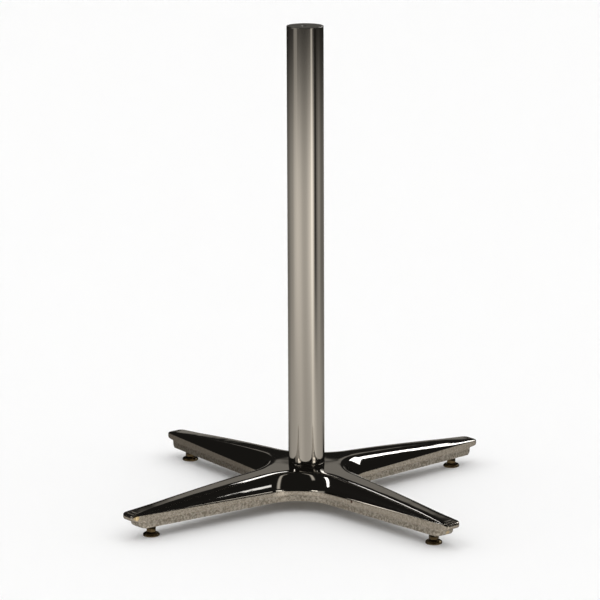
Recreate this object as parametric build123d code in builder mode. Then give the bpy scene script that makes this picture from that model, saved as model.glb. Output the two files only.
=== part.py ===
from build123d import *
from math import cos, radians, tan
import os

# Pedestal base for a bar table. A plated cast-iron cross of four tapering legs carries
# an upright steel tube, drawn down onto the cross by a tie rod inside the tube.
# Each leg end stands on a levelling foot that screws in and out of the casting.
# Origin: on the floor under the middle of the column, +Z up, legs on the diagonals.
# All sizes are millimetres.

# Column tube
column_diameter = 76.2
column_wall = 2.0
column_top_height = 1008.0

# Casting heights above the floor
underside_height = 24.5
hub_height = 84.0
crest_middle_height = 70.0
toe_height = 54.0
lip_thickness = 12.0
flank_line_at_axis = 45.2
flank_line_at_toe = 53.2
flank_lean = 27.0

# Casting seen from above
leg_count = 4
first_leg_angle = 45.0
skirt_reach = 448.0
lip_overhang = 20.0
crest_middle_reach = 300.0
hub_flat_reach = 63.0
leg_width_at_axis = 105.8
leg_width_at_toe = 43.9
web_radius = 90.0
crown_web_radius = 87.5
toe_corner_radius = 12.0

# Casting roundings in section
shoulder_radius = 8.0
nose_radius = 9.0
chin_radius = 4.5
cove_depth = 6.0
cove_lean = 45.0
heel_radius = 8.0

# Casting walls, bosses and ribs
skirt_wall = 6.0
roof_thickness = 7.0
rib_thickness = 6.0
rib_bottom_height = 38.0
hub_boss_diameter = 60.0
hub_boss_bottom = 60.0
spigot_height = 8.0
spigot_wall = 6.0
foot_boss_diameter = 26.0

# Tie rod and its fasteners under the hub
rod_diameter = 12.0
rod_tail = 6.0
rod_hole_clearance = 0.5
washer_diameter = 37.0
washer_thickness = 3.0
spring_washer_diameter = 21.0
spring_washer_thickness = 2.5
spring_washer_gap = 2.0
nut_across_flats = 19.0
nut_height = 10.8

# Plug in the column's top end
plug_thickness = 6.0
plug_boss_diameter = 30.0
plug_boss_length = 34.0
top_thread_diameter = 12.0
top_thread_depth = 16.0
plug_web = 4.0

# Levelling feet
foot_set_back = 40.2
stem_diameter = 10.0
stem_engagement = 21.5
foot_travel_up = 6.5
foot_cup_diameter = 34.5
foot_cup_height = 7.0
foot_cup_crown_diameter = 22.0
foot_cup_rim_height = 3.0
foot_cup_wall = 2.0
foot_hex_across_flats = 18.0
foot_hex_height = 10.0
foot_cup_bulge = 0.5
neck_diameter = 8.0
rivet_head_diameter = 12.0
rivet_head_thickness = 1.8

# Fits and broken edges
thread_clearance = 0.1
slip_clearance = 0.15
edge_break = 1.0
bottoming_clearance = 1.0
nut_chamfer_angle = 30.0
plan_margin = 0.15

# Places worked out from the sizes above
leg_reach = skirt_reach + lip_overhang
foot_circle_radius = skirt_reach - foot_set_back
column_bore = column_diameter - 2 * column_wall
lip_underside = toe_height - lip_thickness
crown_start = underside_height + lip_thickness
crown_overrun = 50.0
past = 5.0
stem_top = underside_height + stem_engagement
cup_ceiling = foot_cup_height - foot_cup_wall
rivet_bottom = cup_ceiling - rivet_head_thickness
spigot_diameter = column_bore - 2 * slip_clearance
washer_bottom = hub_boss_bottom - washer_thickness
spring_washer_bottom = washer_bottom - spring_washer_thickness
nut_bottom = spring_washer_bottom - nut_height
rod_bottom = nut_bottom - rod_tail
plug_bottom = column_top_height - plug_thickness - plug_boss_length
rod_top = column_top_height - top_thread_depth - plug_web - bottoming_clearance
leg_plane = Plane(origin=(0, 0, 0), x_dir=(1, 1, 0), z_dir=(1, -1, 0))
FOOT_NAMES = ["back_right", "back_left", "front_left", "front_right"]


def leg_width(reach):
    """Width of a leg's upright skirt at a distance from the axis."""
    return leg_width_at_axis + (leg_width_at_toe - leg_width_at_axis) * reach / skirt_reach


def crown_width(reach):
    """Width between a leg's leaning flanks at the height where the crown starts."""
    rise = (flank_line_at_toe - flank_line_at_axis) * reach / skirt_reach
    flank_line = flank_line_at_axis + rise
    return leg_width(reach) + 2 * (flank_line - crown_start) * tan(radians(flank_lean))


def cross_plan(height, width_at, reach, corner_radius, web, inset):
    """Four tapering legs seen from above, with hollow rounded webs between them."""
    root = width_at(0) / 2
    toe = width_at(reach) / 2
    with BuildSketch(Plane.XY.offset(height)) as plan:
        with PolarLocations(0, leg_count, first_leg_angle):
            Polygon((0, root), (0, -root), (reach, -toe), (reach, toe), align=None)
        fillet(plan.vertices().group_by(SortBy.DISTANCE)[0], web)
        if corner_radius > 0:
            fillet(plan.vertices().group_by(SortBy.DISTANCE)[-1], corner_radius)
        if inset > 0:
            offset(amount=-inset)
    return plan.sketch


def under_crest(drop):
    """Everything below the long crest of the legs, lowered by a drop."""
    with BuildPart() as turned:
        with BuildSketch(leg_plane):
            with BuildLine():
                crest = ThreePointArc(
                    (hub_flat_reach, hub_height - drop),
                    (crest_middle_reach, crest_middle_height - drop),
                    (leg_reach, toe_height - drop),
                )
                end = Line(crest @ 1, crest @ 1 + (crest % 1) * (crown_overrun + past))
                Polyline(end @ 1, ((end @ 1).X, 0), (0, 0), (0, hub_height - drop), crest @ 0)
            make_face()
        revolve(axis=Axis.Z)
    return turned.part


def crown(inset, drop, shoulder):
    """Leaning flanks under the crest, with rounded shoulders where they meet it."""
    web = crown_web_radius - (flank_line_at_axis - crown_start) * tan(radians(flank_lean))
    plan = cross_plan(crown_start, crown_width, leg_reach + crown_overrun, 0, web, inset)
    with BuildPart() as body:
        add(plan)
        extrude(amount=hub_height - crown_start, taper=flank_lean)
        add(under_crest(drop), mode=Mode.INTERSECT)
        if shoulder > 0:
            fillet(body.edges().filter_by(GeomType.BSPLINE), shoulder)
    return body.part


def crowned_cross(bottom, reach, corner_radius, inset, drop, shoulder):
    """The cross from a height up to its crest, its sides cut back by the flanks."""
    with BuildPart() as body:
        add(cross_plan(bottom, leg_width, reach, corner_radius, web_radius, inset))
        extrude(amount=hub_height + past - bottom)
        add(crown(inset, drop, shoulder), mode=Mode.INTERSECT)
    return body.part


def skirt(reach, inset, top):
    """The upright skirt by itself, from its underside to a height."""
    with BuildPart() as body:
        add(cross_plan(underside_height, leg_width, reach, toe_corner_radius, web_radius, inset))
        extrude(amount=top - underside_height)
    return body.part


def turned_limit(reach, bottom, bottom_radius, nose):
    """Solid of revolution that rounds the ends of the legs in section."""
    with BuildPart() as body:
        with BuildSketch(leg_plane):
            with BuildLine():
                low = CenterArc(
                    (reach - bottom_radius, bottom + bottom_radius), bottom_radius, -90, 90
                )
                high = low @ 1
                if nose > 0:
                    high = CenterArc(low @ 1 - (nose, 0), nose, 0, 90) @ 1
                Polyline(
                    high,
                    (high.X, hub_height + past),
                    (0, hub_height + past),
                    (0, bottom),
                    low @ 0,
                )
            make_face()
        revolve(axis=Axis.Z)
    return body.part


def rounded_skirt():
    """The skirt up to the lip, its four ends rounded at the heel."""
    limit_reach = skirt_reach + plan_margin
    with BuildPart() as body:
        add(skirt(skirt_reach, 0, lip_underside + edge_break))
        add(turned_limit(limit_reach, underside_height, heel_radius, 0), mode=Mode.INTERSECT)
    return body.part


def rounded_lip():
    """Crown and lip above the skirt, each toe turned to a blunt nose."""
    plan_reach = leg_reach + plan_margin
    with BuildPart() as body:
        add(crowned_cross(lip_underside, plan_reach, toe_corner_radius, 0, 0, shoulder_radius))
        add(turned_limit(leg_reach, lip_underside, chin_radius, nose_radius), mode=Mode.INTERSECT)
    return body.part


def toe_coves():
    """Flare that fills the corner between the skirt's end and the lip above it."""
    start = lip_underside - cove_depth
    plan = cross_plan(start, leg_width, skirt_reach, toe_corner_radius, web_radius, edge_break)
    with BuildPart() as body:
        add(plan)
        extrude(amount=cove_depth + edge_break, taper=-cove_lean)
        add(skirt(leg_reach - cove_depth, 0, lip_underside + edge_break), mode=Mode.INTERSECT)
    return body.part


def hollow():
    """Space under the casting, one wall in from the skirt and one roof below the crest."""
    with BuildPart() as body:
        add(skirt(skirt_reach, skirt_wall, crown_start + edge_break))
        add(
            crowned_cross(
                crown_start, skirt_reach, toe_corner_radius, skirt_wall, roof_thickness, 0
            )
        )
    return body.part


def inner_metal():
    """Hub boss, foot bosses and the rib along each leg, carried up into the roof."""
    with BuildPart() as metal:
        with BuildSketch(Plane.XY.offset(hub_boss_bottom)):
            Circle(hub_boss_diameter / 2)
        extrude(amount=hub_height - hub_boss_bottom)
        with BuildSketch(Plane.XY.offset(rib_bottom_height)):
            with PolarLocations(0, leg_count, first_leg_angle):
                Rectangle(foot_circle_radius, rib_thickness, align=(Align.MIN, Align.CENTER))
        extrude(amount=hub_height - rib_bottom_height)
        with BuildSketch(Plane.XY.offset(rib_bottom_height)):
            Circle(hub_boss_diameter / 2)
        extrude(amount=hub_boss_bottom - rib_bottom_height, mode=Mode.SUBTRACT)
        with BuildSketch(Plane.XY.offset(underside_height)):
            with PolarLocations(foot_circle_radius, leg_count, first_leg_angle):
                Circle(foot_boss_diameter / 2)
        extrude(amount=hub_height - underside_height)
        add(under_crest(roof_thickness / 2), mode=Mode.INTERSECT)
    return metal.part


os.makedirs("parts", exist_ok=True)

# Base casting
with BuildPart() as base_casting:
    add(rounded_skirt())
    add(rounded_lip())
    add(toe_coves())
    add(hollow(), mode=Mode.SUBTRACT)
    add(inner_metal())
    with BuildSketch(Plane.XY.offset(hub_height)):
        Circle(spigot_diameter / 2)
        Circle(spigot_diameter / 2 - spigot_wall, mode=Mode.SUBTRACT)
    spigot = extrude(amount=spigot_height)
    chamfer(spigot.edges().group_by(Axis.Z)[-1].sort_by(SortBy.LENGTH)[-1], edge_break)
    with BuildSketch(Plane.XY.offset(hub_boss_bottom)):
        Circle(rod_diameter / 2 + rod_hole_clearance)
    extrude(amount=hub_height - hub_boss_bottom, mode=Mode.SUBTRACT)
    with BuildSketch(Plane.XY.offset(underside_height)):
        with PolarLocations(foot_circle_radius, leg_count, first_leg_angle):
            Circle(stem_diameter / 2 + thread_clearance)
    extrude(
        amount=stem_engagement + foot_travel_up + bottoming_clearance,
        mode=Mode.SUBTRACT,
    )
base_casting.part.label = "base_casting"
export_step(base_casting.part, "parts/base_casting.step")

# Column tube, standing on the hub around the spigot
with BuildPart() as column_tube:
    with BuildSketch(Plane.XY.offset(hub_height)):
        Circle(column_diameter / 2)
        Circle(column_bore / 2, mode=Mode.SUBTRACT)
    extrude(amount=column_top_height - hub_height)
column_tube.part.label = "column_tube"
export_step(column_tube.part, "parts/column_tube.step")

# Plug in the tube's top end, flush with the rim and tapped blind from both ends
with BuildPart() as column_top_plug:
    with BuildSketch(Plane.XY.offset(column_top_height)):
        Circle(column_bore / 2 - slip_clearance)
    extrude(amount=-plug_thickness)
    rim = column_top_plug.edges().group_by(Axis.Z)[-1]
    chamfer(rim, edge_break)
    with BuildSketch(Plane.XY.offset(column_top_height - plug_thickness)):
        Circle(plug_boss_diameter / 2)
    extrude(amount=-plug_boss_length)
    foot_of_boss = column_top_plug.edges().group_by(Axis.Z)[0]
    chamfer(foot_of_boss, edge_break)
    with BuildSketch(Plane.XY.offset(column_top_height)):
        Circle(top_thread_diameter / 2)
    extrude(amount=-top_thread_depth, mode=Mode.SUBTRACT)
    with BuildSketch(Plane.XY.offset(plug_bottom)):
        Circle(rod_diameter / 2 + thread_clearance)
    extrude(amount=rod_top + bottoming_clearance - plug_bottom, mode=Mode.SUBTRACT)
column_top_plug.part.label = "column_top_plug"
export_step(column_top_plug.part, "parts/column_top_plug.step")

# Tie rod from the hub nut up into the plug
with BuildPart() as tie_rod:
    with BuildSketch(Plane.XY.offset(rod_bottom)):
        Circle(rod_diameter / 2)
    extrude(amount=rod_top - rod_bottom)
    chamfer(tie_rod.edges().filter_by(GeomType.CIRCLE), edge_break)
tie_rod.part.label = "tie_rod"
export_step(tie_rod.part, "parts/tie_rod.step")

# Flat washer under the hub boss
with BuildPart() as hub_washer:
    with BuildSketch(Plane.XY.offset(washer_bottom)):
        Circle(washer_diameter / 2)
        Circle(rod_diameter / 2 + rod_hole_clearance, mode=Mode.SUBTRACT)
    extrude(amount=washer_thickness)
hub_washer.part.label = "hub_washer"
export_step(hub_washer.part, "parts/hub_washer.step")

# Split spring washer, squeezed flat between the flat washer and the nut
with BuildPart() as hub_spring_washer:
    with BuildSketch(Plane.XY.offset(spring_washer_bottom)):
        Circle(spring_washer_diameter / 2)
        Circle(rod_diameter / 2 + slip_clearance, mode=Mode.SUBTRACT)
        Rectangle(
            spring_washer_diameter,
            spring_washer_gap,
            align=(Align.MIN, Align.CENTER),
            mode=Mode.SUBTRACT,
        )
    extrude(amount=spring_washer_thickness)
hub_spring_washer.part.label = "hub_spring_washer"
export_step(hub_spring_washer.part, "parts/hub_spring_washer.step")


def hexagon_prism(bottom, across_flats, height, bottom_turned):
    """Hexagon with its corners turned off to a cone, as a nut's are."""
    face_radius = across_flats / 2 - edge_break / 2
    corner_radius = across_flats / 2 / cos(radians(180 / 6)) + edge_break
    fall = (corner_radius - face_radius) * tan(radians(nut_chamfer_angle))
    with BuildPart() as prism:
        with BuildSketch(Plane.XY.offset(bottom)):
            RegularPolygon(across_flats / 2, 6, major_radius=False)
        extrude(amount=height)
        with BuildSketch(Plane.XZ):
            Polygon(
                (0, bottom),
                (face_radius if bottom_turned else corner_radius, bottom),
                (corner_radius, bottom + fall if bottom_turned else bottom + edge_break),
                (corner_radius, bottom + height - fall),
                (face_radius, bottom + height),
                (0, bottom + height),
                align=None,
            )
        revolve(axis=Axis.Z, mode=Mode.INTERSECT)
    return prism.part


# Hub nut
with BuildPart() as hub_nut:
    add(hexagon_prism(nut_bottom, nut_across_flats, nut_height, True))
    with Locations((0, 0, nut_bottom + nut_height)):
        Hole(radius=rod_diameter / 2 + thread_clearance)
hub_nut.part.label = "hub_nut"
export_step(hub_nut.part, "parts/hub_nut.step")


def foot_screw(centre):
    """Threaded stem over a hexagon, necked below and riveted inside the cup."""
    with BuildPart() as body:
        add(hexagon_prism(foot_cup_height, foot_hex_across_flats, foot_hex_height, False))
        with BuildSketch(Plane.XZ):
            with BuildLine():
                head = ThreePointArc(
                    (0, rivet_bottom),
                    (rivet_head_diameter / 4, rivet_bottom + rivet_head_thickness / 4),
                    (rivet_head_diameter / 2, cup_ceiling),
                )
                Polyline(
                    head @ 1,
                    (neck_diameter / 2, cup_ceiling),
                    (neck_diameter / 2, foot_cup_height + edge_break),
                    (stem_diameter / 2, foot_cup_height + edge_break),
                    (stem_diameter / 2, stem_top - edge_break),
                    (stem_diameter / 2 - edge_break, stem_top),
                    (0, stem_top),
                    (0, rivet_bottom),
                )
            make_face()
        revolve(axis=Axis.Z)
    return Pos(centre.X, centre.Y, 0) * body.part


def foot_cup(centre):
    """Pressed cup of even wall: a rim on the floor, a domed slope and a flat crown."""
    rim = foot_cup_diameter / 2
    crown_edge = foot_cup_crown_diameter / 2
    with BuildPart() as body:
        with BuildSketch(Plane.XZ):
            with BuildLine():
                slope = ThreePointArc(
                    (rim, foot_cup_rim_height),
                    (
                        (rim + crown_edge) / 2 + foot_cup_bulge,
                        (foot_cup_rim_height + foot_cup_height) / 2 + foot_cup_bulge,
                    ),
                    (crown_edge, foot_cup_height),
                )
                under = ThreePointArc(
                    (rim - foot_cup_wall, foot_cup_rim_height - foot_cup_bulge),
                    (
                        (rim + crown_edge) / 2 - foot_cup_wall / 2,
                        (foot_cup_rim_height + foot_cup_height) / 2 - foot_cup_wall / 2,
                    ),
                    (crown_edge, cup_ceiling),
                )
                Polyline(
                    slope @ 1,
                    (neck_diameter / 2 + slip_clearance, foot_cup_height),
                    (neck_diameter / 2 + slip_clearance, cup_ceiling),
                    under @ 1,
                )
                Polyline(under @ 0, (rim - foot_cup_wall, 0), (rim, 0), slope @ 0)
            make_face()
        revolve(axis=Axis.Z)
    return Pos(centre.X, centre.Y, 0) * body.part


# Four levelling feet, one under each leg end
foot_centres = PolarLocations(foot_circle_radius, leg_count, first_leg_angle)
for foot_name, place in zip(FOOT_NAMES, foot_centres):
    screw = foot_screw(place.position)
    screw.label = "foot_screw_" + foot_name
    export_step(screw, "parts/foot_screw_" + foot_name + ".step")
    cup = foot_cup(place.position)
    cup.label = "foot_cup_" + foot_name
    export_step(cup, "parts/foot_cup_" + foot_name + ".step")
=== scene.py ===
# %% [markdown]
# # Bar table base
# A plated cast-iron cross of four legs, an upright chromed tube and four screw feet.
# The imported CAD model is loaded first. It gives every piece its real size and place, so
# each new mesh below is made in the same frame and nothing has to be fitted by eye.

# %% Load the frame
import bmesh
import bpy
from math import atan2, copysign, cos, pi, radians, sin, sqrt, tan
from mathutils import Matrix, Vector


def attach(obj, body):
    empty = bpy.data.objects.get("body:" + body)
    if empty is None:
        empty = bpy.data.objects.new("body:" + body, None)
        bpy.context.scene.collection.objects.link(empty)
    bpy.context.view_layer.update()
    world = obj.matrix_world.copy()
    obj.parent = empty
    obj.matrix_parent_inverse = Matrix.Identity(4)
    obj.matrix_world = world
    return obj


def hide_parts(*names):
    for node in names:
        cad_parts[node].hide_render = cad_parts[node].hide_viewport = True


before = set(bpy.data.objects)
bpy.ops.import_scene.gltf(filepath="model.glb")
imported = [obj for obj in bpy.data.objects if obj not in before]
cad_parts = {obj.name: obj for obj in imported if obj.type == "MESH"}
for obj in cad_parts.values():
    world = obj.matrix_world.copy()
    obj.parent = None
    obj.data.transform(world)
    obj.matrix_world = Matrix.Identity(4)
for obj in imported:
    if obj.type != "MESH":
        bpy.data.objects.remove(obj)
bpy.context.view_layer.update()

# %% [markdown]
# The photograph was taken from about seven metres with a long lens, a little to the right
# of the front. A camera could be placed by eye. Here its angle, distance and lens were worked
# out from the column's edges and the four feet, so that the render has the same shape.

# %% Camera
camera_azimuth = radians(6.117)
camera_elevation = radians(12.773)
camera_roll = radians(-0.222)
camera_distance = 6.8436
aim_right = -0.012461
aim_height = 0.432188
lens_pixels = 3280.4
frame_pixels = 600
sensor_width = 36

level_right = Vector((cos(camera_azimuth), sin(camera_azimuth), 0))
back = Vector((
    sin(camera_azimuth) * cos(camera_elevation),
    -cos(camera_azimuth) * cos(camera_elevation),
    sin(camera_elevation),
))
level_up = back.cross(level_right)
right = cos(camera_roll) * level_right + sin(camera_roll) * level_up
up = cos(camera_roll) * level_up - sin(camera_roll) * level_right

camera_data = bpy.data.cameras.new("camera")
camera_data.sensor_width = sensor_width
camera_data.lens = sensor_width * lens_pixels / frame_pixels
camera_data.clip_end = 200
camera = bpy.data.objects.new("camera", camera_data)
turn = Matrix((right, up, back)).transposed().to_4x4()
place = aim_right * level_right + Vector((0, 0, aim_height)) + camera_distance * back
camera.matrix_world = Matrix.Translation(place) @ turn
bpy.context.collection.objects.link(camera)
bpy.context.scene.camera = camera
print("camera stands", round(place.length, 2), "m away, lens", round(camera_data.lens, 1), "mm")

# %% [markdown]
# ## The chromed tube's finish
# Chrome has almost no colour of its own, and shows its surroundings. Reflections could be
# painted on, but they would be wrong from any other side. So the chrome is a plain metal,
# slightly warm and slightly rough from buffing, and mirrors the room made at the end.

# %% Chrome of the tube
plate_colour = (0.60, 0.575, 0.54)


def new_metal(name, colour, roughness):
    """A metal; returns the material, its tree and its shader."""
    material = bpy.data.materials.new(name)
    material.use_nodes = True
    shader = material.node_tree.nodes["Principled BSDF"]
    shader.inputs["Base Color"].default_value = (*colour, 1)
    shader.inputs["Metallic"].default_value = 1
    shader.inputs["Roughness"].default_value = roughness
    return material, material.node_tree, shader


tube_chrome = new_metal("tube chrome", plate_colour, 0.07)[0]
print(tube_chrome.name, "has the colour", plate_colour)

# %% [markdown]
# ## The casting's plating
# The casting was plated in one bath, but not polished all over. The crown was ground and
# buffed to a mirror. The upright skirt below stayed as it came out of the sand. Two materials
# could split the faces, but the polisher's border doesn't follow the edges exactly. So one
# material compares each point's height with a line that climbs along the leg.

# %% How far along a leg a point is, and how far above the border
millimetre = 0.001
skirt_reach = 448.0
flank_line_at_axis = 45.2
flank_line_at_toe = 53.2
flank_line_rise = (flank_line_at_toe - flank_line_at_axis) / skirt_reach
casting_plating, tree, shader = new_metal("casting plating", plate_colour, 0.06)


def add_node(tree, kind, inputs=None, **settings):
    """Add a node, set its options and link or set its inputs by name or number."""
    node = tree.nodes.new(kind)
    for key, value in settings.items():
        setattr(node, key, value)
    for key, value in (inputs or {}).items():
        if isinstance(value, bpy.types.NodeSocket):
            tree.links.new(value, node.inputs[key])
        else:
            node.inputs[key].default_value = value
    return node


def sums(tree, operation, *values):
    """One Math node; the values are numbers or sockets."""
    return add_node(tree, "ShaderNodeMath", dict(enumerate(values)), operation=operation).outputs[0]


position = add_node(tree, "ShaderNodeTexCoord").outputs["Object"]
place_x, place_y, place_z = add_node(tree, "ShaderNodeSeparateXYZ", {0: position}).outputs
spread = sums(tree, "ADD", sums(tree, "ABSOLUTE", place_x), sums(tree, "ABSOLUTE", place_y))
along_leg = sums(tree, "MULTIPLY", spread, sqrt(0.5))
border = sums(tree, "MULTIPLY_ADD", along_leg, flank_line_rise, flank_line_at_axis * millimetre)
above_border = sums(tree, "SUBTRACT", place_z, border)
print("the border climbs", round(flank_line_rise * skirt_reach, 1), "mm along each leg")

# %% [markdown]
# The polish stops at the border and fades out just before the lip at the toe. The lower part
# of the skirt is coarser than the band above it. A sharp comparison would leave a jagged
# border, so a Map Range node makes each of them a smooth step between two places.

# %% Polished crown and coarse lower band
border_blur = 0.5
polish_fades, polish_ends = 452.0, 462.0
coarse_starts, coarse_full = 39.0, 37.0


def soft_step(tree, value, start, end, low=0.0, high=1.0):
    """A smooth step from low to high while a value goes from start to end."""
    return add_node(tree, "ShaderNodeMapRange", {
        "Value": value, "From Min": start, "From Max": end, "To Min": low, "To Max": high,
    }, interpolation_type="SMOOTHSTEP").outputs[0]


above = soft_step(tree, above_border, -border_blur * millimetre, border_blur * millimetre)
before_lip = soft_step(tree, along_leg, polish_ends * millimetre, polish_fades * millimetre)
polished = sums(tree, "MULTIPLY", above, before_lip)
unpolished = sums(tree, "SUBTRACT", 1.0, polished)
coarse = soft_step(tree, place_z, coarse_starts * millimetre, coarse_full * millimetre)
print("polished up to", polish_fades, "mm along the leg, coarse below", coarse_full, "mm")

# %% [markdown]
# The sand of the mould leaves a skin of small bumps, which looks speckled under the plating.
# Dots could be painted by hand. A noise that reads the place on the object never repeats and
# is the same in every render, and its contrast can be stronger where the skirt is coarse.

# %% Sandy colour of the skirt
dark_sand = (0.38, 0.335, 0.275)
pale_sand = (0.78, 0.735, 0.675)


def mixed(tree, share, colour_one, colour_two):
    """Mix two colours; each is a socket or three numbers."""
    ends = [c if isinstance(c, bpy.types.NodeSocket) else (*c, 1) for c in (colour_one, colour_two)]
    return add_node(tree, "ShaderNodeMix", {0: share, 6: ends[0], 7: ends[1]}, data_type="RGBA").outputs[2]


grain = add_node(tree, "ShaderNodeTexNoise", {
    "Vector": position, "Scale": 260.0, "Detail": 5.0, "Roughness": 0.7,
}).outputs[0]
speckle = add_node(tree, "ShaderNodeTexNoise", {
    "Vector": position, "Scale": 210.0, "Detail": 3.0, "Roughness": 0.6,
}).outputs[0]
speckle_strength = sums(tree, "MULTIPLY_ADD", coarse, 0.55, 0.35)
speckle_here = sums(tree, "MULTIPLY", soft_step(tree, speckle, 0.36, 0.64, -0.5, 0.5), speckle_strength)
sand = mixed(tree, sums(tree, "ADD", speckle_here, 0.5), dark_sand, pale_sand)
colour = mixed(tree, polished, sand, plate_colour)
print("skirt colours run from", dark_sand, "to", pale_sand)

# %% [markdown]
# The back-left leg's skirt is darkened by painted shade, the front-right leg's has a speck
# of rust, and at two toes a golden spot is a painted highlight. Small meshes could be stuck
# on, but such marks lie in the surface. So they are mixed into the colour: the painted shade
# by quarter, and each spot within a ragged radius of one place.

# %% Painted shade, rust and painted highlights
painted_shade_starts, painted_shade_full, painted_shade_strength = 20.0, 80.0, 0.65
painted_shade_colour = (0.07, 0.055, 0.04)
# The rust speck is real; the two golden spots at the toes are painted highlights.
rust_and_highlight_spots = [
    ("rust speck, front-right leg", (110.5, -166.2, 46.0), 3.2, (0.13, 0.07, 0.05)),
    ("painted golden highlight, front-left toe", (-310.0, -339.5, 50.5), 6.0, (0.95, 0.76, 0.46)),
    ("painted golden highlight, front-right toe", (317.4, -314.4, 30.0), 5.0, (0.90, 0.74, 0.50)),
]
spot_edge_outside, spot_edge_inside = 1.8, 1.1


def spot(colour, centre, radius, spot_colour):
    """Mix a small ragged spot of another colour into a colour."""
    offset = add_node(tree, "ShaderNodeVectorMath", {
        0: position, 1: [value * millimetre for value in centre],
    }, operation="DISTANCE").outputs["Value"]
    ragged = sums(tree, "MULTIPLY_ADD", speckle, radius * millimetre, offset)
    edge = radius * millimetre
    inside = soft_step(tree, ragged, spot_edge_outside * edge, spot_edge_inside * edge)
    return mixed(tree, inside, colour, spot_colour)


# Painted shade: the skirt of the back-left quarter is mixed towards a dark colour.
to_the_left = soft_step(tree, place_x, -painted_shade_starts * millimetre, -painted_shade_full * millimetre)
to_the_back = soft_step(
    tree, place_y, painted_shade_starts * millimetre, painted_shade_full * millimetre, 0.0, painted_shade_strength,
)
painted_shade_share = sums(tree, "MULTIPLY", to_the_left, to_the_back)
colour = mixed(tree, sums(tree, "MULTIPLY", painted_shade_share, unpolished), colour, painted_shade_colour)
for place_name, centre, radius, spot_colour in rust_and_highlight_spots:
    colour = spot(colour, centre, radius, spot_colour)
    print(place_name, "at", centre)
tree.links.new(colour, shader.inputs["Base Color"])

# %% [markdown]
# The crown is almost a mirror with slow waves that bend its reflections, and the skirt is
# rougher and has the grain of the sand. Such relief could be real geometry, but it is too
# small to change the outline, so a Bump node tilts the light instead. The grain is centred
# on zero, or its mean height would draw a line where it begins.

# %% Roughness and fine relief of the casting
crown_roughness = 0.05
fine_roughness, extra_coarse_roughness = 0.18, 0.12
fine_grain_depth, extra_coarse_depth = 0.0002, 0.0009
wave_depth = 0.0004

skirt_roughness = sums(tree, "MULTIPLY_ADD", coarse, extra_coarse_roughness, fine_roughness)
roughness = add_node(tree, "ShaderNodeMix", {
    0: polished, 2: skirt_roughness, 3: crown_roughness,
}, data_type="FLOAT").outputs[0]
tree.links.new(roughness, shader.inputs["Roughness"])
waves = add_node(tree, "ShaderNodeTexNoise", {"Vector": position, "Scale": 22.0, "Detail": 1.0}).outputs[0]
wave_height = sums(tree, "MULTIPLY", waves, wave_depth)
grain_depth = sums(tree, "MULTIPLY_ADD", coarse, extra_coarse_depth, fine_grain_depth)
grain_here = sums(tree, "MULTIPLY", grain_depth, unpolished)
grain_height = sums(tree, "MULTIPLY", sums(tree, "SUBTRACT", grain, 0.5), grain_here)
relief = add_node(tree, "ShaderNodeBump", {
    "Strength": 1.0, "Distance": 1.0, "Height": sums(tree, "ADD", grain_height, wave_height),
})
tree.links.new(relief.outputs[0], shader.inputs["Normal"])
print(casting_plating.name, "has", len(tree.nodes), "nodes")

# %% [markdown]
# The hidden hardware is bright zinc, and the feet are steel with a dark bronzed skin. Zinc's
# fine crystals could be textured, but nobody sees them at this distance, so each is a plain
# metal with its own colour and roughness.

# %% Plain finishes of the small parts
zinc = new_metal("zinc plate", (0.62, 0.62, 0.60), 0.3)[0]
foot_bronze = new_metal("bronzed foot steel", (0.125, 0.092, 0.05), 0.08)[0]
print("plain finishes:", zinc.name, "and", foot_bronze.name)

# %% [markdown]
# ## The cast cross
# The cross is one casting: four tapering legs with rounded webs between them. Four bars
# could be joined and their corners smoothed, but then the webs would not flow. So it starts
# as the flat outline seen from above. Its sizes are in millimetres, and the places where
# arcs meet straight sides are worked out from them.

# %% Sizes of the outline seen from above
leg_half_at_axis = 105.8 / 2
leg_half_at_toe = 43.9 / 2
leg_narrowing = (leg_half_at_axis - leg_half_at_toe) / skirt_reach
web_radius = 90.0
toe_corner_radius = 12.0
leg_middles = [radians(45 + 90 * leg) for leg in range(4)]


def half_width(along):
    """Half the width of a leg at a distance from the axis."""
    return leg_half_at_axis - leg_narrowing * along


lean = atan2(leg_narrowing, 1)
web_corner = leg_half_at_axis / (1 + leg_narrowing)
web_centre = web_corner + web_radius / sin(pi / 4 + lean) * sqrt(0.5)
web_end = web_corner + web_radius / tan(pi / 4 + lean) * cos(lean)
toe_centre = skirt_reach - toe_corner_radius
toe_centre_across = leg_half_at_axis - leg_narrowing * toe_centre - toe_corner_radius / cos(lean)
side_end = toe_centre + toe_corner_radius * sin(lean)
print("webs end", round(web_end, 1), "mm from the axis, straight sides at", round(side_end, 1))

# %% [markdown]
# Twelve corners make one flat face. Its four inner corners are the webs, its eight outer
# ones the toes. Arcs could be worked out point by point, but Bevel on the corners makes them
# in one step, with the offset that gives each its radius.

# %% The flat outline with rounded corners
web_segments, corner_segments = 32, 10
toe_zone = 5.0

casting = bmesh.new()
corners = []
for middle in leg_middles:
    for along, across in (
        (skirt_reach, -half_width(skirt_reach)),
        (skirt_reach, half_width(skirt_reach)),
        (web_corner, web_corner),
    ):
        corners.append(casting.verts.new((
            along * cos(middle) - across * sin(middle),
            along * sin(middle) + across * cos(middle),
            0,
        )))
casting.faces.new(corners)
web_points = [v for v in casting.verts if v.co.length < skirt_reach / 2]
bmesh.ops.bevel(
    casting, geom=web_points, offset=web_radius / tan(pi / 4 + lean), offset_type="OFFSET",
    segments=web_segments, profile=0.5, affect="VERTICES", material=-1,
)
toe_points = [v for v in casting.verts if v.co.length > skirt_reach - toe_zone]
bmesh.ops.bevel(
    casting, geom=toe_points, offset=toe_corner_radius * tan((pi / 2 - lean) / 2),
    offset_type="OFFSET", segments=corner_segments, profile=0.5, affect="VERTICES", material=-1,
)
print("outline has", len(casting.verts), "points")

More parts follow.
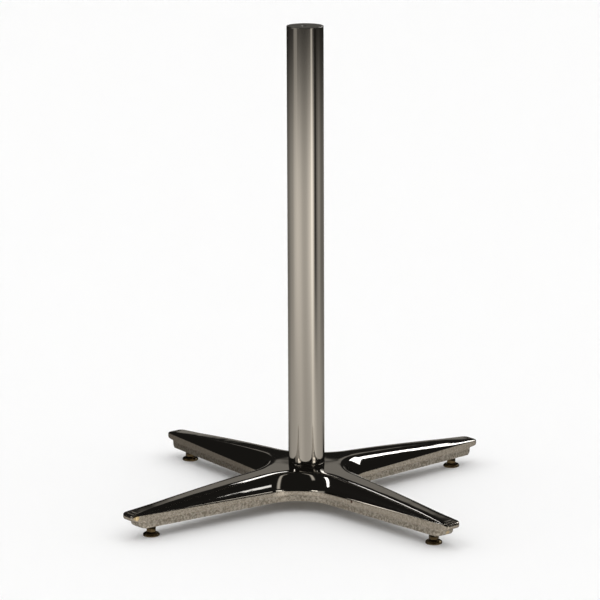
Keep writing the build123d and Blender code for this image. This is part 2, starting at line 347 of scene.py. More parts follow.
# %% [markdown]
# Bevel's arcs are close to circles, but a mirror finish shows the smallest error. So each
# rounded point is moved straight onto its circle. All four legs are alike, so a point is
# first seen from its own leg, as a distance along it and one across it, and then put back.

# %% Rounded points set exactly on their circles
close_enough = 0.01


def to_leg(x, y):
    """A point seen from its own leg: distance along it, and distance across it."""
    side_x, side_y = copysign(1, x), copysign(1, y)
    return (abs(x) + abs(y)) * sqrt(0.5), (side_x * y - side_y * x) * sqrt(0.5)


def from_leg(x, y, along, across):
    """The other way round, for the leg in whose quarter the point x, y lies."""
    side_x, side_y = copysign(1, x), copysign(1, y)
    return (side_x * along - side_y * across) * sqrt(0.5), (side_y * along + side_x * across) * sqrt(0.5)


moved_points = 0
for vertex in casting.verts:
    along, across = to_leg(vertex.co.x, vertex.co.y)
    if along < web_end - close_enough:
        centre, radius = Vector((web_centre, copysign(web_centre, across))), web_radius
    elif along > side_end + close_enough:
        centre, radius = Vector((toe_centre, copysign(toe_centre_across, across))), toe_corner_radius
    else:
        continue
    point = centre + (Vector((along, across)) - centre).normalized() * radius
    vertex.co.xy = from_leg(vertex.co.x, vertex.co.y, *point)
    moved_points += 1
print(moved_points, "points lie on their circles")

# %% [markdown]
# One face with hundreds of sides can't follow the long curved crest. A grid would cut the legs
# at random. Planes cut it straight across each leg instead, through pairs of points on the two
# sides, so every strip later lies level from side to side and bends only along the leg.

# %% Cut the outline across the legs
hub_end = 82.0
plain_count = 14
slide_start = 392.0

stations = []
for vertex in casting.verts:
    along = to_leg(vertex.co.x, vertex.co.y)[0]
    if along > hub_end and not any(abs(along - other) < close_enough for other in stations):
        stations.append(along)
step = (slide_start - web_end) / plain_count
stations += [web_end + step * (index + 1) for index in range(plain_count)]
stations += [slide_start + (side_end - slide_start) * part for part in (0.33, 0.66)]
stations = [s for s in sorted(stations) if s < skirt_reach - close_enough]
for middle in leg_middles:
    towards = Vector((cos(middle), sin(middle), 0))
    for station in stations:
        bmesh.ops.bisect_plane(
            casting, geom=casting.verts[:] + casting.edges[:] + casting.faces[:],
            dist=0.001, plane_co=towards * station, plane_no=towards,
        )
print(len(stations), "cuts a leg,", len(casting.faces), "faces")

# %% [markdown]
# The crest of each leg falls in one long even curve from the hub to the toe. A spline
# through several points would wobble in the reflections. One circle through three heights,
# at the hub, at mid-leg and at the toe, gives the pattern maker's clean line.

# %% Crest of a leg
hub_flat_reach, hub_height = 63.0, 84.0
crest_middle_reach, crest_middle_height = 300.0, 70.0
leg_reach, toe_height = 468.0, 54.0

first = Vector((hub_flat_reach, hub_height))
second = Vector((crest_middle_reach, crest_middle_height))
third = Vector((leg_reach, toe_height))
chord_one, chord_two = second - first, third - second
cross = chord_one.x * chord_two.y - chord_one.y * chord_two.x
middle_one, middle_two = (first + second) / 2, (second + third) / 2
gap = middle_two - middle_one
slide = (gap.x * chord_two.x + gap.y * chord_two.y) / cross
crest_centre = middle_one + slide * Vector((-chord_one.y, chord_one.x))
crest_radius = (first - crest_centre).length


def crest(reach):
    """Height of the crest at a distance from the axis."""
    if reach < hub_flat_reach:
        return hub_height
    drop = sqrt(crest_radius ** 2 - (reach - crest_centre.x) ** 2)
    return crest_centre.y + copysign(drop, hub_height - crest_centre.y)


print("crest radius", round(crest_radius), "mm, centre", [round(v) for v in crest_centre])

# %% [markdown]
# Under the crest each side leans in as a slightly rounded flank. A shoulder rounds it over
# into a top with a crown of half a millimetre. Bevels could round such edges, but here the
# rounds shrink along the leg. So the whole section is three arcs whose sizes follow the
# height that is left at that place.

# %% Section of a flank
flank_start_lean = radians(15)
flank_end_lean = radians(40)
least_rise = 0.3
largest_shoulder, shoulder_share = 15.0, 1.65
crown_band, largest_crown, crown_share = 10.0, 0.5, 0.25


def flank_line(along):
    """Height of the line where the upright skirt ends and the flank begins."""
    return flank_line_at_axis + flank_line_rise * along


def flank(along, reach, part):
    """Inset and height: part 0 to 1 is the flank, 1 to 2 the shoulder, 2 to 3 the crowned top."""
    rise = max(crest(reach) - flank_line(along), least_rise)
    shoulder = min(largest_shoulder, shoulder_share * rise)
    sag = min(largest_crown, crown_share * rise)
    top_lean = pi / 2 - 2 * atan2(sag, crown_band)
    shoulder_rise = shoulder * (sin(top_lean) - sin(flank_end_lean))
    swell = (rise - sag - shoulder_rise) / (sin(flank_end_lean) - sin(flank_start_lean))
    lean_here = flank_start_lean + (flank_end_lean - flank_start_lean) * min(part, 1)
    inset = swell * (cos(flank_start_lean) - cos(lean_here))
    height = swell * (sin(lean_here) - sin(flank_start_lean))
    if part > 1:
        lean_here = flank_end_lean + (top_lean - flank_end_lean) * (min(part, 2) - 1)
        inset += shoulder * (cos(flank_end_lean) - cos(lean_here))
        height += shoulder * (sin(lean_here) - sin(flank_end_lean))
    if part > 2:
        inset += crown_band * (part - 2)
        height += sag * (1 - (3 - part) ** 2)
    return inset, flank_line(along) + height


print("mid-leg section:", [tuple(round(v, 1) for v in flank(200, 200, part)) for part in range(4)])

# %% [markdown]
# The casting is hollow below, with walls of even thickness. The sides could be modelled apart,
# but they would not meet cleanly at the toes. So the outline is raised ring by ring. Each ring
# is the same outline, moved in by an inset, out along the leg by a shift at the toe, and
# lifted to a height. The first rings go down the inner wall to its rounded rim.

# %% Rings of the roof, the inner wall and its rim
underside = 24.5
wall, roof = 6.0, 7.0
toe_wall = 9.2
inner_round = 0.8
hollow_lean = radians(27)
roof_level = crest(skirt_reach - toe_wall) - roof


def ring(side, toe_level, toe_inset, shift=0.0):
    """One ring: side is a function of along and reach, or a pair of inset and height."""
    return (side if callable(side) else lambda along, reach: side, toe_level, toe_inset, shift)


def roof_edge(along, reach):
    """Where the leaning inner side meets the roof of the hollow."""
    height = crest(reach) - roof
    return wall + max(0, height - flank_line(along)) * tan(hollow_lean), height


def wall_top(along, reach):
    """Top of the upright inner side."""
    return wall, min(flank_line(along), crest(reach) - roof - 1)


roof_ring = ring(roof_edge, roof_level, toe_wall)
rings = [ring(wall_top, roof_level - 1, toe_wall)]
for degrees in (90, 60, 30, 0):
    out = inner_round * sin(radians(degrees))
    up_by = inner_round * (1 - cos(radians(degrees)))
    inset = wall - inner_round + out
    rings.append(ring((inset, underside + up_by), underside + up_by, inset - wall + toe_wall))
print(len(rings), "rings from the roof to the rim")

# %% [markdown]
# Outside, the sides are a plain upright skirt, but each toe has a rounded heel, a hollow cove,
# and a lip that sticks out above it. Separate end pieces would need seams. The same rings
# make all of it, because each keeps one height for the sides and another for the toe.

# %% Rings of the heel, the cove and the underside of the lip
rim_round = 1.0
heel_radius = 8.0
cove_start, cove_depth = 36.0, 6.0
heel_gap = 1.5
cove_side_low, cove_side_high = 30.0, 34.0
lip_side_low, lip_side_high = 36.0, 38.0
lip_underside, chin_radius = 42.0, 4.5
lip_shift = leg_reach - skirt_reach

for degrees in (0, 22.5, 45, 67.5, 90):
    out, up_by = 1 - sin(radians(degrees)), 1 - cos(radians(degrees))
    rings.append(ring(
        (rim_round * out, underside + rim_round * up_by),
        underside + heel_radius * up_by, heel_radius * out,
    ))
rings.append(ring((0, underside + 2 * rim_round), cove_start - heel_gap, 0))
for degrees in (0, 22.5, 45, 67.5, 90):
    out, up_by = 1 - cos(radians(degrees)), sin(radians(degrees))
    side_level = cove_side_low + (cove_side_high - cove_side_low) * degrees / 90
    rings.append(ring((0, side_level), cove_start + cove_depth * up_by, 0, cove_depth * out))
for degrees in (0, 30, 60, 90):
    out, up_by = sin(radians(degrees)), 1 - cos(radians(degrees))
    side_level = lip_side_low + (lip_side_high - lip_side_low) * degrees / 90
    rings.append(ring(
        (0, side_level), lip_underside + chin_radius * up_by, 0, lip_shift - chin_radius * (1 - out),
    ))
print(len(rings), "rings up to the chin of the lip")

# %% [markdown]
# The last rings climb the flank, the shoulder and the crowned top, and form the lip's blunt
# nose at the toe. A quarter circle would look too pointed, so its sine and cosine are raised
# to a power below one. Two close rings under the flank line keep the skirt's border crisp.

# %% Rings of the flank, the shoulder, the top and the nose
nose_length, nose_bluntness = 9.0, 0.6
nose_start = lip_underside + chin_radius
nose_rise = crest(leg_reach - nose_length) - nose_start
flank_steps, shoulder_steps = 6, 6
skirt_tops = (1.6, 0.5)
first_part = 0.04


def skirt_side(below):
    """The upright skirt, a little below the flank line."""
    return lambda along, reach: (0, flank_line(along) - below)


def flank_side(part):
    """The flank, shoulder or top at one part of its section."""
    return lambda along, reach: flank(along, reach, part)


parts = [first_part] + [(number + 1) / flank_steps for number in range(flank_steps)]
parts += [1 + (number + 1) / shoulder_steps for number in range(shoulder_steps)]
crown_sides = [skirt_side(below) for below in skirt_tops] + [flank_side(part) for part in parts]
for number, side in enumerate(crown_sides):
    turn_angle = pi / 2 * number / (len(crown_sides) - 1)
    rings.append(ring(
        side, nose_start + nose_rise * sin(turn_angle) ** nose_bluntness,
        nose_length * (1 - cos(turn_angle) ** nose_bluntness), lip_shift,
    ))
for part in (2.25, 2.5, 2.75, 3):
    toe_end = nose_length + crown_band * (part - 2)
    rings.append(ring(flank_side(part), crest(leg_reach - toe_end), toe_end, lip_shift))
print(len(rings), "rings in all")

# %% [markdown]
# Each point must know its place in the flat outline, so that any ring can be worked out from
# it. A Python list would go stale, because extruding makes new points. A bmesh layer is
# copied along with each point. Towards the toe the point slides out by the ring's shift, and
# its height goes over from the side's to the toe's.

# %% Where an outline point lies on a ring
hub_margin = 8.0
axis_zone = 5.0

outline = casting.verts.layers.float_vector.new("outline")
hub_mark = casting.faces.layers.int.new("hub")
for vertex in casting.verts:
    vertex[outline] = vertex.co
for face in casting.faces:
    inside = all(to_leg(v.co.x, v.co.y)[0] < hub_end + hub_margin for v in face.verts)
    face[hub_mark] = int(inside and face.calc_center_median().length < axis_zone)


def lies_on(vertex, this_ring):
    """The place of an outline point on a ring."""
    side, toe_level, toe_inset, shift = this_ring
    x, y = vertex[outline].xy
    along, across = to_leg(x, y)
    sliding = min(max((along - slide_start) / (side_end - slide_start), 0), 1)
    toe_share = 0
    if along < web_end:
        normal = (Vector((web_centre, copysign(web_centre, across))) - Vector((along, across))).normalized()
    elif along <= side_end + close_enough:
        normal = Vector((sin(lean), copysign(cos(lean), across)))
    else:
        centre = Vector((toe_centre, copysign(toe_centre_across, across)))
        normal = (Vector((along, across)) - centre).normalized()
        toe_share = (normal.x - sin(lean)) / (1 - sin(lean))
    moved = along + shift * sliding
    across *= half_width(moved) / half_width(along)
    reach = sqrt(moved ** 2 + across ** 2)
    for _ in range(3):
        side_inset, side_level = side(moved, reach)
        inset = side_inset + (toe_inset - side_inset) * toe_share
        point = Vector((moved, across)) - normal * inset
        reach = point.length
    share = toe_share if toe_level > nose_start else sliding
    level = side_level + (toe_level - side_level) * share
    return Vector((*from_leg(x, y, *point), level))


for vertex in casting.verts:
    vertex.co = lies_on(vertex, roof_ring)
print("roof lies between", round(min(v.co.z for v in casting.verts), 1), "and",
      round(max(v.co.z for v in casting.verts), 1), "mm")

# %% [markdown]
# Now the rings become walls. Loops of faces could be stitched by hand. Extruding the whole
# face region once for every ring does it, because only its new edge points are moved. The
# first extrusion keeps its starting faces, which become the hollow's roof.

# %% Raise the rings


def raised(shape, faces, keep=False):
    """Extrude joined faces and return the new ones; the old ones go unless they are kept."""
    edges = {edge for face in faces for edge in face.edges}
    points = {vertex for face in faces for vertex in face.verts}
    geometry = bmesh.ops.extrude_face_region(
        shape, geom=[*faces, *edges, *points], use_keep_orig=keep,
    )["geom"]
    return [item for item in geometry if isinstance(item, bmesh.types.BMFace)]


faces = casting.faces[:]
for number, this_ring in enumerate(rings):
    faces = raised(casting, faces, keep=number == 0)
    for vertex in {v for face in faces for v in face.verts}:
        vertex.co = lies_on(vertex, this_ring)
print("casting has", len(casting.faces), "faces so far")

# %% [markdown]
# The hub's top is flat and round, and a spigot centres the tube. Below, a round boss takes
# the washer's pull, and a hole goes through for the tie rod. A boolean could cut them, but it
# leaves slivers. The hub's two faces are extruded onto smaller and smaller circles instead,
# and a bridge joins them at the wall of the hole.

# %% Hub, spigot and rod hole
column_radius = 38.1
spigot_radius, spigot_wall, spigot_height = 35.95, 6.0, 8.0
spigot_bore = spigot_radius - spigot_wall
hub_boss_radius, hub_boss_bottom, boss_edge = 30.0, 60.0, 0.8
rod_hole_radius = 6.5
shoulder_gap = 6.0
longest_edge, cross_cuts = 8.0, 7


def hub_circles(face, circles):
    """Extrude one face onto a row of circles, each with a radius and a height."""
    chords = [edge for edge in face.edges if edge.calc_length() > longest_edge]
    bmesh.ops.subdivide_edges(casting, edges=chords, cuts=cross_cuts)
    for radius, height in circles:
        face, = raised(casting, [face])
        for vertex in face.verts:
            vertex.co.xy = vertex.co.xy.normalized() * radius
            vertex.co.z = height
    return face


hub_faces = [face for face in casting.faces if face[hub_mark] and len(face.verts) > 8]
hub_faces.sort(key=lambda face: face.calc_center_median().z)
below = hub_circles(hub_faces[0], [
    (hub_boss_radius + 1, hub_height - roof),
    (hub_boss_radius, hub_height - roof - 1),
    (hub_boss_radius, hub_boss_bottom + boss_edge),
    (hub_boss_radius - boss_edge, hub_boss_bottom),
    (rod_hole_radius, hub_boss_bottom),
])
above = hub_circles(hub_faces[-1], [
    (hub_flat_reach - shoulder_gap, hub_height),
    (column_radius + shoulder_gap, hub_height),
    (spigot_radius, hub_height),
    (spigot_radius, hub_height + spigot_height - 1),
    (spigot_radius - 1, hub_height + spigot_height),
    (spigot_bore, hub_height + spigot_height),
    (spigot_bore, hub_height),
    (rod_hole_radius, hub_height),
])
hole_edges = above.edges[:] + below.edges[:]
bmesh.ops.delete(casting, geom=[above, below], context="FACES_ONLY")
bmesh.ops.bridge_loops(casting, edges=hole_edges)
print("hub is pierced; the casting has", len(casting.faces), "faces")

# %% [markdown]
# Inside the hollow a rib stiffens each leg, and a boss with a blind hole stands over each
# foot for its screw. They could be extruded from the roof, but it would need matching edges.
# They are plain closed shapes whose tops end inside the roof's thickness, which looks the
# same from outside and from below.

# %% A rib and a foot boss
rib_thickness, rib_bottom, rib_cuts = 6.0, 38.0, 14
foot_circle = 407.8
foot_boss_radius, foot_bore_radius, foot_bore_top = 13.0, 5.1, 53.5
buried = 3.5
rib_start = hub_boss_radius - 0.3
rib_length = foot_circle - foot_boss_radius - hub_boss_radius + 2


def rib_and_boss():
    """The rib along one leg and the boss over its foot, for a leg that points along X."""
    fitting = bmesh.new()
    bmesh.ops.create_cube(fitting, size=1)
    bmesh.ops.scale(fitting, vec=(rib_length, rib_thickness, 1), verts=fitting.verts)
    bmesh.ops.translate(fitting, vec=(rib_start + rib_length / 2, 0, 0), verts=fitting.verts)
    long_edges = [edge for edge in fitting.edges if edge.calc_length() > rib_length / 2]
    bmesh.ops.subdivide_edges(fitting, edges=long_edges, cuts=rib_cuts)
    for vertex in fitting.verts:
        vertex.co.z = rib_bottom if vertex.co.z < 0 else crest(vertex.co.x) - buried
    outer = bmesh.ops.create_circle(
        fitting, segments=48, radius=foot_boss_radius, cap_ends=True,
        matrix=Matrix.Translation((foot_circle, 0, crest(foot_circle) - buried)),
    )["verts"]
    face = outer[0].link_faces[0]
    for number, (radius, height) in enumerate((
        (foot_boss_radius, underside + boss_edge), (foot_boss_radius - boss_edge, underside),
        (foot_bore_radius + boss_edge, underside), (foot_bore_radius, underside + boss_edge),
        (foot_bore_radius, foot_bore_top),
    )):
        face, = raised(fitting, [face], keep=number == 0)
        for vertex in face.verts:
            arm = Vector((vertex.co.x - foot_circle, vertex.co.y)).normalized() * radius
            vertex.co = (foot_circle + arm.x, arm.y, height)
    return fitting


print("each rib is", round(rib_length), "mm long")

# %% [markdown]
# The ribs and bosses join the casting in one mesh, as they are one iron. Objects could be
# scaled to metres, but an object here must stay unscaled. So one helper scales the finished
# mesh of every piece, merges doubled corners, turns the faces outwards, and shades the shape
# smooth except at sharp edges.

# %% Finish the casting
smooth_limit = radians(35)


def joined(*shapes):
    """Put several bmeshes into one."""
    whole = bmesh.new()
    for shape in shapes:
        mesh = bpy.data.meshes.new("part")
        shape.to_mesh(mesh)
        shape.free()
        whole.from_mesh(mesh)
        bpy.data.meshes.remove(mesh)
    return whole


def finished(shape, name, body, material):
    """Turn a bmesh in millimetres into an object that rides on a body of the frame."""
    bmesh.ops.remove_doubles(shape, verts=shape.verts, dist=0.001)
    bmesh.ops.recalc_face_normals(shape, faces=shape.faces)
    bmesh.ops.scale(shape, vec=(millimetre,) * 3, verts=shape.verts)
    name = name.replace(" ", "_")
    mesh = bpy.data.meshes.new(name)
    shape.to_mesh(mesh)
    shape.free()
    mesh.shade_smooth()
    mesh.set_sharp_from_angle(angle=smooth_limit)
    mesh.materials.append(material)
    piece = bpy.data.objects.new(name, mesh)
    bpy.context.collection.objects.link(piece)
    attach(piece, body)
    print(name, "has", len(mesh.polygons), "faces")
    return piece


for middle in leg_middles:
    fitting = rib_and_boss()
    bmesh.ops.transform(fitting, matrix=Matrix.Rotation(middle, 4, "Z"), verts=fitting.verts)
    casting = joined(casting, fitting)
base_casting = finished(casting, "cast cross", "base", casting_plating)
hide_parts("base_casting")

# %% [markdown]
# ## Column
# The column is a plain tube. A cylinder with a Solidify modifier would do, but the plug and
# the cups of the feet are round too, so one helper spins an outline for all of them. It first
# rounds the corners, with a guard point on each side that keeps the shading flat beside them.

# %% Column tube
column_top = 1008.0
column_bore = 36.1
nearly_straight = 0.97
guard_distance = 1.8


def softened(outline_points, size, closed):
    """Round the corners of an outline, with a guard point on each side of every round."""
    count = len(outline_points)
    result = []
    for index, point in enumerate(outline_points):
        here = Vector(point)
        before = Vector(outline_points[index - 1]) - here
        after = Vector(outline_points[(index + 1) % count]) - here
        ends = not closed and index in (0, count - 1)
        if ends or abs(before.normalized().dot(after.normalized())) > nearly_straight:
            result.append(here)
            continue
        reach = min(size, before.length / 4, after.length / 4)
        start, end = here + before.normalized() * reach, here + after.normalized() * reach
        result.append(here + before.normalized() * reach * guard_distance)
        for part in (0, 0.33, 0.67, 1):
            result.append(start * (1 - part) ** 2 + here * 2 * part * (1 - part) + end * part ** 2)
        result.append(here + after.normalized() * reach * guard_distance)
    return result


def turned(outline_points, steps=96, centre=(0, 0), edge=0.4, closed=True):
    """Spin an outline of radius and height points; edge is the size of the rounded edges."""
    shape = bmesh.new()
    points = [shape.verts.new((r, 0, height)) for r, height in softened(outline_points, edge, closed)]
    pairs = list(zip(points, points[1:]))
    if closed:
        pairs.append((points[-1], points[0]))
    edges = [shape.edges.new(pair) for pair in pairs]
    bmesh.ops.spin(
        shape, geom=points + edges, cent=(0, 0, 0), axis=(0, 0, 1),
        angle=2 * pi, steps=steps, use_merge=True,
    )
    bmesh.ops.translate(shape, vec=(*centre, 0), verts=shape.verts)
    return shape


column = turned([
    (column_bore, hub_height), (column_radius, hub_height),
    (column_radius, column_top), (column_bore, column_top),
], steps=160, edge=0.5)
column_tube = finished(column, "column", "base", tube_chrome)
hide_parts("column_tube")

# %% [markdown]
# A steel plug closes the tube's upper end. It has a threaded hole for a table top, and a boss
# that the tie rod screws into. It could be stacked from cylinders, but one outline holds the
# disc, the boss and both blind holes, and spins into a closed shape.

# %% Plug in the top of the tube
plug_gap = 0.15
plug_thickness, plug_boss_radius, plug_boss_length = 6.0, 15.0, 34.0
top_thread_radius, top_thread_depth = 6.0, 16.0
rod_top, rod_end_gap, rod_seat_radius = 987.0, 1.0, 6.1
plug_radius = column_bore - plug_gap
disc_bottom = column_top - plug_thickness
plug_bottom = disc_bottom - plug_boss_length

plug = turned([
    (0, column_top - top_thread_depth), (top_thread_radius, column_top - top_thread_depth),
    (top_thread_radius, column_top), (plug_radius, column_top),
    (plug_radius, disc_bottom), (plug_boss_radius, disc_bottom),
    (plug_boss_radius, plug_bottom), (rod_seat_radius, plug_bottom),
    (rod_seat_radius, rod_top + rod_end_gap), (0, rod_top + rod_end_gap),
], steps=96, edge=0.8, closed=False)
top_plug = finished(plug, "column top plug", "base", zinc)
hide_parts("column_top_plug")

# %% [markdown]
# ## Levelling feet
# Each foot is a threaded stem with a hexagon, and it is riveted into a pressed cup. A texture
# could fake the thread, but it shows at the edge when a foot is screwed out. So a V outline is
# spun round and lifted by one pitch each turn. The hexagon is a six-sided cone with equal
# ends and bevelled edges, as a spanner leaves no sharp ones.

# %% Thread and hexagon
stem_radius, thread_depth, pitch = 5.0, 0.75, 1.5
root_radius = stem_radius - thread_depth
thread_outline = ((0, 0), (0, 0.12), (1, 0.44), (1, 0.56), (0, 0.88), (0, 1))
thread_steps = 32
hexagon_radius = 9.0 / cos(radians(30))
hexagon_edge = 0.5


def threaded(bottom, top):
    """A helical V thread between two heights."""
    shape = bmesh.new()
    points = [
        shape.verts.new((root_radius + out * thread_depth, 0, bottom + part * pitch))
        for out, part in thread_outline
    ]
    edges = [shape.edges.new(pair) for pair in zip(points, points[1:])]
    turns = int((top - bottom) / pitch) - 1
    bmesh.ops.spin(
        shape, geom=points + edges, cent=(0, 0, 0), axis=(0, 0, 1), angle=2 * pi * turns,
        steps=thread_steps * turns, dvec=(0, 0, pitch / thread_steps), use_merge=False,
    )
    return shape


def hexagon(bottom, top, turned_by):
    """A hexagon bar with lightly rounded edges."""
    shape = bmesh.new()
    bmesh.ops.create_cone(
        shape, cap_ends=True, segments=6, radius1=hexagon_radius, radius2=hexagon_radius,
        depth=top - bottom, matrix=Matrix.Translation((0, 0, (top + bottom) / 2)),
    )
    bmesh.ops.bevel(
        shape, geom=shape.edges[:], offset=hexagon_edge, offset_type="OFFSET", segments=3,
        profile=0.5, affect="EDGES", material=-1,
    )
    bmesh.ops.rotate(shape, cent=(0, 0, 0), matrix=Matrix.Rotation(turned_by, 3, "Z"), verts=shape.verts)
    return shape


print("thread M", 2 * stem_radius, "with a pitch of", pitch, "mm")

# %% [markdown]
# A foot stands under each leg and rides on a body of its own, because it can be screwed in
# and out. One foot could be copied four times, but a loop builds each where it belongs, with
# nothing left to move. The rivet's head fills the hole in the cup's roof from below.

# %% Foot screws and foot cups
foot_names = ["back_right", "back_left", "front_left", "front_right"]
stem_top = underside + 21.5
hexagon_bottom, hexagon_top, hexagon_turn = 7.0, 17.0, 0.3
rivet_head = [(0, 3.2), (3, 3.6), (6, 5.0)]
neck_radius, neck_top = 4.0, 8.0
cup_hole_radius, cup_roof_underside, cup_height = 4.15, 5.0, 7.0
cup_outside = [(17.25, 0), (17.25, 3.0), (16.6, 4.2), (15.2, 5.4), (13.2, 6.5), (11.0, cup_height)]
cup_inside = [(10.6, cup_roof_underside), (13.0, 4.2), (14.6, 3.1), (15.25, 2.2)]
rim_inside = (15.25, 0)

for middle, foot_name in zip(leg_middles, foot_names):
    body = "foot_" + foot_name
    spoken = foot_name.replace("_", " ")
    centre = (foot_circle * cos(middle), foot_circle * sin(middle))
    core = turned(rivet_head + [
        (neck_radius, cup_roof_underside), (neck_radius, neck_top),
        (root_radius, neck_top), (root_radius, stem_top), (0, stem_top),
    ], steps=48, closed=False)
    thread = threaded(hexagon_top - 1, stem_top)
    screw = joined(core, thread, hexagon(hexagon_bottom, hexagon_top, middle + hexagon_turn))
    bmesh.ops.translate(screw, vec=(*centre, 0), verts=screw.verts)
    screw_piece = finished(screw, "foot screw " + spoken, body, foot_bronze)
    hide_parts("foot_screw_" + foot_name)
    cup = turned([
        rim_inside, *cup_outside, (cup_hole_radius, cup_height), (cup_hole_radius, cup_roof_underside),
        *cup_inside,
    ], steps=64, centre=centre)
    cup_piece = finished(cup, "foot cup " + spoken, body, foot_bronze)
    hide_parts("foot_cup_" + foot_name)

# %% [markdown]
# ## Hidden hardware
# The tie rod, the two washers and the nut pull the tube down onto the hub, and only the nut
# and washers show, from below. New meshes could be made for them too, but the CAD shapes are
# already right at this size, so they stay and only get their zinc.

# %% Finish of the pieces that stay as the CAD made them
kept_nodes = ("tie_rod", "hub_washer", "hub_spring_washer", "hub_nut")
for node in kept_nodes:
    for material_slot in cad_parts[node].material_slots:
        material_slot.material = zinc
print(len(kept_nodes), "pieces keep their CAD shape")

# %% [markdown]
# ## Floor, backdrop and light
# The object stands on a pale paper sweep. A single plane would end in view, so the floor is a
# wide disc whose rim is extruded up into a wall far behind. It is hidden from reflections,
# because the plated parts mirror a room of their own, made further down.

# %% Floor and backdrop
pale_grey = 0.93
stage_radius, wall_height = 30.0, 20.0
pale = bpy.data.materials.new("pale paper")
pale.use_nodes = True
paper = pale.node_tree.nodes["Principled BSDF"]
paper.inputs["Base Color"].default_value = (pale_grey, pale_grey, pale_grey, 1)
paper.inputs["Roughness"].default_value = 1
paper.inputs["Specular IOR Level"].default_value = 0

stage = bmesh.new()
bmesh.ops.create_circle(stage, cap_ends=True, segments=96, radius=stage_radius)
lifted = bmesh.ops.extrude_edge_only(stage, edges=stage.edges[:])["geom"]
rim = [item for item in lifted if isinstance(item, bmesh.types.BMVert)]
bmesh.ops.translate(stage, vec=(0, 0, wall_height), verts=rim)
stage_mesh = bpy.data.meshes.new("paper sweep")
stage.to_mesh(stage_mesh)
stage.free()
stage_mesh.materials.append(pale)
sweep = bpy.data.objects.new("paper_sweep", stage_mesh)
bpy.context.collection.objects.link(sweep)
sweep.visible_glossy = False
print("paper sweep is", 2 * stage_radius, "m wide")

# %% [markdown]
# A photographer's ceiling of soft light leaves only a faint shadow under the base. Many lamps
# could imitate it, but one sun with a very wide angle gives the same even light. Its strength
# is set so that the pale paper comes out nearly white without clipping.

# %% Ceiling light
ceiling_data = bpy.data.lights.new("ceiling light", "SUN")
ceiling_data.energy = 3.34
ceiling_data.angle = radians(150)
ceiling_light = bpy.data.objects.new("ceiling light", ceiling_data)
ceiling_light.visible_glossy = False
bpy.context.collection.objects.link(ceiling_light)
print("ceiling light has a strength of", round(ceiling_data.energy, 2))

# %% [markdown]
# The white streaks on the flanks are mirrored panels. They could be painted into the world,
# but a streak that ends part of the way along a leg needs a panel near by. So these are area
# lights that only reflections show, placed by direction from the hub. The strip is tilted
# across the front-left leg's shoulder, so that its streak is short and broad.

# %% Softboxes
panel_aim = Vector((0, 0, 0.07))


def softbox(name, azimuth, elevation, distance, width, height, brightness, tilt=0):
    """A bright panel that faces the hub from a direction in degrees."""
    data = bpy.data.lights.new(name, "AREA")
    data.shape = "RECTANGLE"
    data.size = 2 * distance * tan(radians(width / 2))
    data.size_y = 2 * distance * tan(radians(height / 2))
    data.energy = pi * data.size * data.size_y * brightness
    panel = bpy.data.objects.new(name, data)
    towards = Vector((
        cos(radians(azimuth)) * cos(radians(elevation)),
        sin(radians(azimuth)) * cos(radians(elevation)),
        sin(radians(elevation)),
    ))
    facing = towards.to_track_quat("Z", "Y").to_matrix().to_4x4()
    turn = facing @ Matrix.Rotation(radians(tilt), 4, "Z")
    panel.matrix_world = Matrix.Translation(towards * distance + panel_aim) @ turn
    panel.visible_diffuse = False
    panel.visible_camera = False
    bpy.context.collection.objects.link(panel)
    print(name, "is", round(data.size, 2), "by", round(data.size_y, 2), "m")


softbox("right softbox", 23, 40, 3, 15, 9, 3.0)
softbox("right hub softbox", 38, 30, 3, 32, 17, 3.0)
softbox("strip softbox", 80.5, 57.2, 1.142, 38, 6, 2.4, tilt=-43)
softbox("left softbox", 190, 36, 4, 6, 27, 3.0)
softbox("right window", 347, 28, 2.93, 4.5, 6, 1.3)

# %% [markdown]
# ## The room in the chrome
# Chrome shows the room, so the world paints one by direction: a warm floor below and a dark
# room above. A picture of a studio could be used, but ramps and patches can be placed where
# the real reflections are. First each direction is read as a compass angle and an elevation.

# %% Compass and elevation of a direction
seam = 96.0
world = bpy.data.worlds.new("studio")
bpy.context.scene.world = world
world.use_nodes = True
tree = world.node_tree
background = tree.nodes["Background"]

looking = add_node(tree, "ShaderNodeTexCoord").outputs["Generated"]
look_x, look_y, look_z = add_node(tree, "ShaderNodeSeparateXYZ", {0: looking}).outputs
compass = sums(tree, "MULTIPLY", sums(tree, "ARCTAN2", look_y, look_x), 180 / pi)
elevation = sums(tree, "MULTIPLY", sums(tree, "ARCSINE", look_z), 180 / pi)
past_seam = sums(tree, "FLOORED_MODULO", sums(tree, "SUBTRACT", compass, seam), 360.0)
round_room = sums(tree, "DIVIDE", past_seam, 360.0)
print("the ramps begin and end at", seam, "degrees, behind the column")

# %% [markdown]
# The tube mirrors the floor all round it as upright stripes. Stripes painted on the tube
# would stand still when the view turns. So one ramp gives the brightness of the far floor
# round the compass, and one that of the near floor, which only the column's foot shows.

# %% Floor of the room
far_edge_ends, far_edge_starts = -7.6, -11.0
near_starts, near_full = -11.8, -15.2


def compass_ramp(levels):
    """Brightness round the compass, from pairs of azimuth in degrees and level."""
    ramp_node = tree.nodes.new("ShaderNodeValToRGB")
    ramp_node.color_ramp.interpolation = "LINEAR"
    elements = ramp_node.color_ramp.elements
    while len(elements) < len(levels):
        elements.new(0.5)
    for element, (azimuth, level) in zip(elements, levels):
        element.position = (azimuth - seam) / 360
        element.color = (level, level, level, 1)
    tree.links.new(round_room, ramp_node.inputs[0])
    print("ramp with", len(levels), "levels")
    return ramp_node.outputs[0]


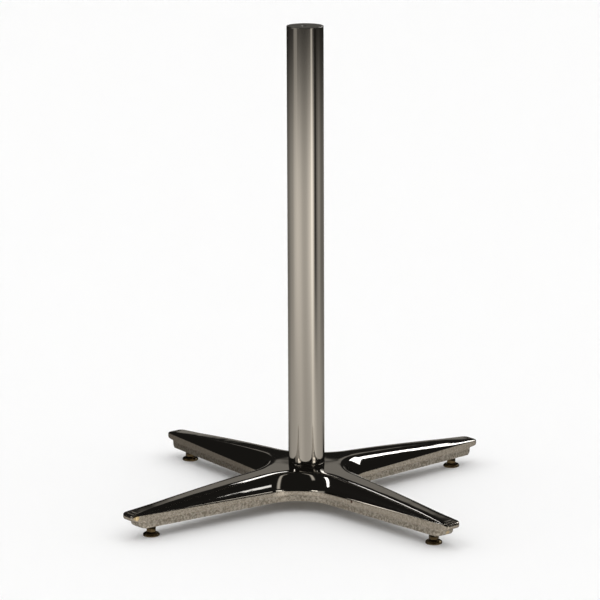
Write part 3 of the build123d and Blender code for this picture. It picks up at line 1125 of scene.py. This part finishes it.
far_floor = compass_ramp([
    (96, 0.18), (125, 0.16), (145, 0.18), (170, 0.33), (188, 0.40), (204, 0.66), (222, 0.80),
    (240, 0.74), (258, 0.56), (271, 0.53), (283, 0.58), (296, 0.78), (308, 1.02), (318, 1.16),
    (325, 0.95), (331, 0.30), (337, 0.01), (344, 0.03), (352, 0.24), (368, 0.38), (387, 0.20),
    (405, 0.14), (420, 0.22), (455.9, 0.18),
])
near_floor = compass_ramp([
    (96, 0.28), (144, 0.26), (169, 0.40), (204, 0.45), (243, 0.56), (270, 0.44), (300, 0.45),
    (309, 0.50), (318, 0.76), (336, 0.62), (351, 0.46), (368, 0.42), (387, 0.38), (414, 0.24),
    (455.9, 0.28),
])
far_fade = soft_step(tree, elevation, far_edge_ends, far_edge_starts)
far_level = sums(tree, "MULTIPLY", far_floor, far_fade)
nearness = soft_step(tree, elevation, near_starts, near_full)
floor_level = add_node(
    tree, "ShaderNodeMix", {0: nearness, 2: far_level, 3: near_floor}, data_type="FLOAT",
).outputs[0]

# %% [markdown]
# Windows and pale walls make the small lights on the hub, the glints on the webs and the
# grey sheen on the leg tops. Area lights so low would be mirrored in the column as bright
# spikes. Patches of the world lie infinitely far away, so the column doesn't show the high ones.

# %% Windows and walls of the room
darkest_level = 0.012
warm_tint = (1.06, 1.0, 0.90)


def patch(azimuth, half_angle, low, high, level, soft=3.0):
    """A soft-edged bright patch of the room, in degrees."""
    turned_by = sums(tree, "FLOORED_MODULO", sums(tree, "SUBTRACT", compass, azimuth - 180), 360.0)
    off_centre = sums(tree, "ABSOLUTE", sums(tree, "SUBTRACT", turned_by, 180.0))
    across = soft_step(tree, off_centre, half_angle + soft / 2, half_angle - soft / 2)
    from_below = soft_step(tree, elevation, low - soft / 2, low + soft / 2)
    from_above = soft_step(tree, elevation, high + soft / 2, high - soft / 2, 0.0, level)
    return sums(tree, "MULTIPLY", across, sums(tree, "MULTIPLY", from_below, from_above))


patches = [
    patch(315, 5, -12, 4, 0.42, soft=6),
    patch(319, 9, 3, 10, 0.65, soft=2),
    patch(325, 8, 11, 13.2, 2.4, soft=1),
    patch(318, 7, 12.2, 15, 0.2, soft=2),
    patch(327, 4, 20, 75, 0.5, soft=5),
    patch(232, 12, 3, 10, 0.35, soft=3),
    patch(229, 8, 11, 13.2, 2.4, soft=1),
    patch(229, 4, 45, 82, 0.5, soft=5),
    patch(212, 12, -8, 12, 0.4, soft=6),
    patch(349, 6, 8.8, 10.4, 1.2, soft=1),
    patch(185, 2.5, 2.5, 5.5, 2.5, soft=1),
    patch(96, 10, -6, 7.5, 0.2, soft=3),
    patch(96.2, 5.8, 15.5, 25, 0.19, soft=2),
]
total = sums(tree, "ADD", floor_level, darkest_level)
for one in patches:
    total = sums(tree, "ADD", total, one)
tint = add_node(tree, "ShaderNodeVectorMath", {0: total, 1: warm_tint}, operation="MULTIPLY")
tree.links.new(tint.outputs[0], background.inputs[0])
print(len(patches), "patches in a room of", len(tree.nodes), "nodes")

# %% [markdown]
# ## The end
# Colours should come out as they are written, so the view transform is Standard.

# %% The end
bpy.context.scene.view_settings.view_transform = "Standard"
